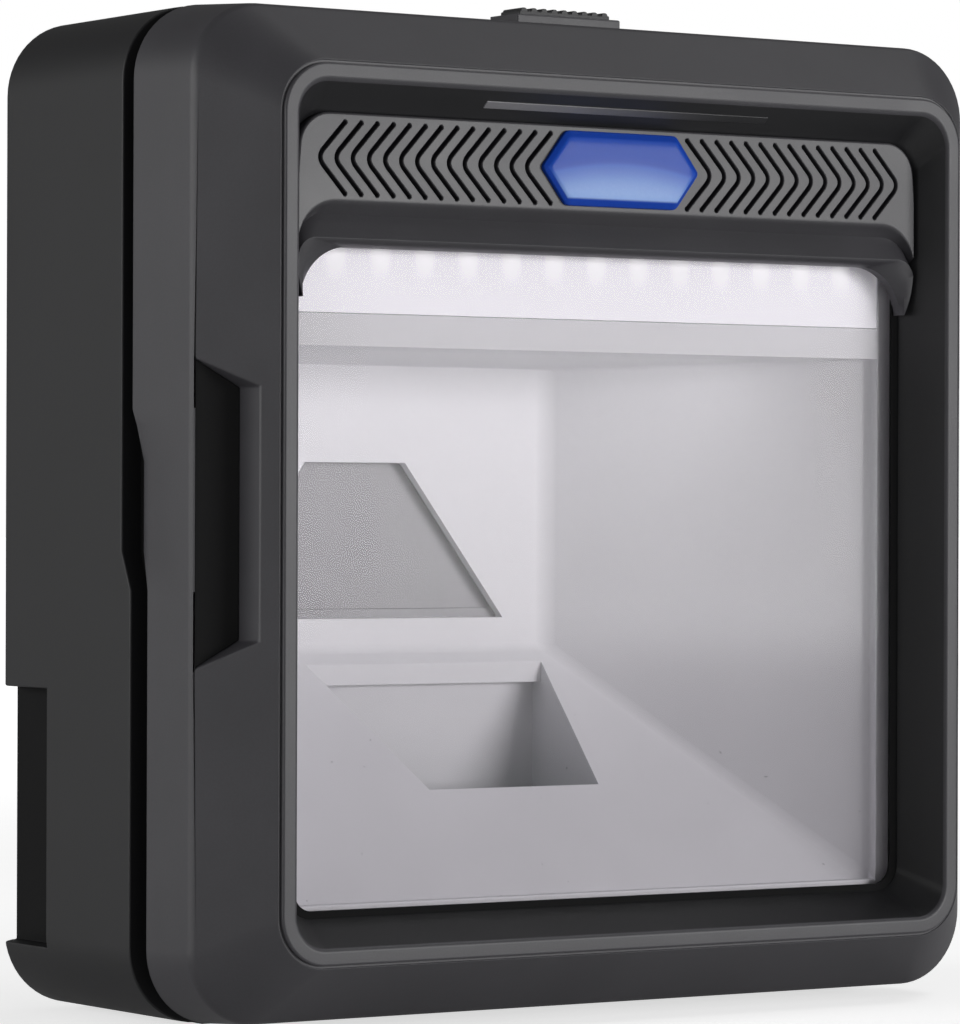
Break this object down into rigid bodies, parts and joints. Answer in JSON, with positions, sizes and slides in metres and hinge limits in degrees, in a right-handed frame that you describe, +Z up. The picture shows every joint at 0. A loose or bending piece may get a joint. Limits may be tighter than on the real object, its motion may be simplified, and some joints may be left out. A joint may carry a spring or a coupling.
{
  "type": "presentation barcode scanner",
  "caption": "Square hands-free barcode scanner: bevelled front frame round a clear window, slotted brow, rear housing with cable bay, top push button.",
  "frame": {"origin": "middle of the rectangle that holds the part, on the surface it stands on", "axes": "+Z up, -Y out of the window towards what is scanned, +X to the right seen from the front"},
  "size_m": [0.146, 0.068, 0.155],
  "materials": {
    "shell_front": "fine moulded texture, satin",
    "shell_rear": "fine moulded texture, satin",
    "brow_plastic": "fine moulded texture",
    "black_band": "matt black",
    "black_pad": "matt black",
    "clear_pane": "clear, polished",
    "blue_badge": "domed, glossy",
    "light_bar": "smoked light guide",
    "chamber_white": "matt light grey",
    "diffuser_white": "milky diffuser",
    "board_green": "solder-masked board",
    "lamp_yellow": "lamp with phosphor",
    "barrel_black": "matt black",
    "lens_glass": "coated glass",
    "chip_black": "moulded package",
    "aimer_clear": "clear lens",
    "speaker_black": "matt black",
    "port_metal": "plated shield",
    "cover_black": "fine moulded texture",
    "screw_steel": "plated",
    "insert_brass": "machined",
    "foot_rubber": "matt rubber",
    "button_black": "ribbed, matt",
    "switch_metal": "plated cover"
  },
  "bodies": {
    "housing": {"front_bezel": "shell_front", "rear_housing": "shell_rear", "parting_seal": "black_band", "window_pane": "clear_pane", "window_gasket": "black_band", "brow_cover": "brow_plastic", "badge": "blue_badge", "status_light_bar": "light_bar", "pocket_pad_left": "black_pad", "pocket_pad_right": "black_pad", "optical_chamber": "chamber_white", "diffuser_strip": "diffuser_white", "lamp_board": "board_green", "lamps": "lamp_yellow", "camera_shroud": "chamber_white", "camera_board": "board_green", "lens_barrel": "barrel_black", "lens": "lens_glass", "image_sensor": "chip_black", "lower_shroud": "chamber_white", "aimer_board": "board_green", "aimer_lens": "aimer_clear", "speaker": "speaker_black", "main_board": "board_green", "board_chips": "chip_black", "host_port": "port_metal", "cable_cover": "cover_black", "cover_screws": "screw_steel", "housing_screws": "screw_steel", "board_screws": "screw_steel", "mount_inserts": "insert_brass", "foot_front_left": "foot_rubber", "foot_front_right": "foot_rubber", "foot_rear_left": "foot_rubber", "foot_rear_right": "foot_rubber", "button_collar": "shell_front", "button_switch": "switch_metal", "switch_board": "board_green"},
    "button": {"button_cap": "button_black"}
  },
  "joints": [
    {"name": "button_press", "type": "slide", "parent": "housing", "child": "button", "axis": [0, 0, -1], "range_m": [0, 0.0008], "stiffness_N_per_m": 1200}
  ]
}
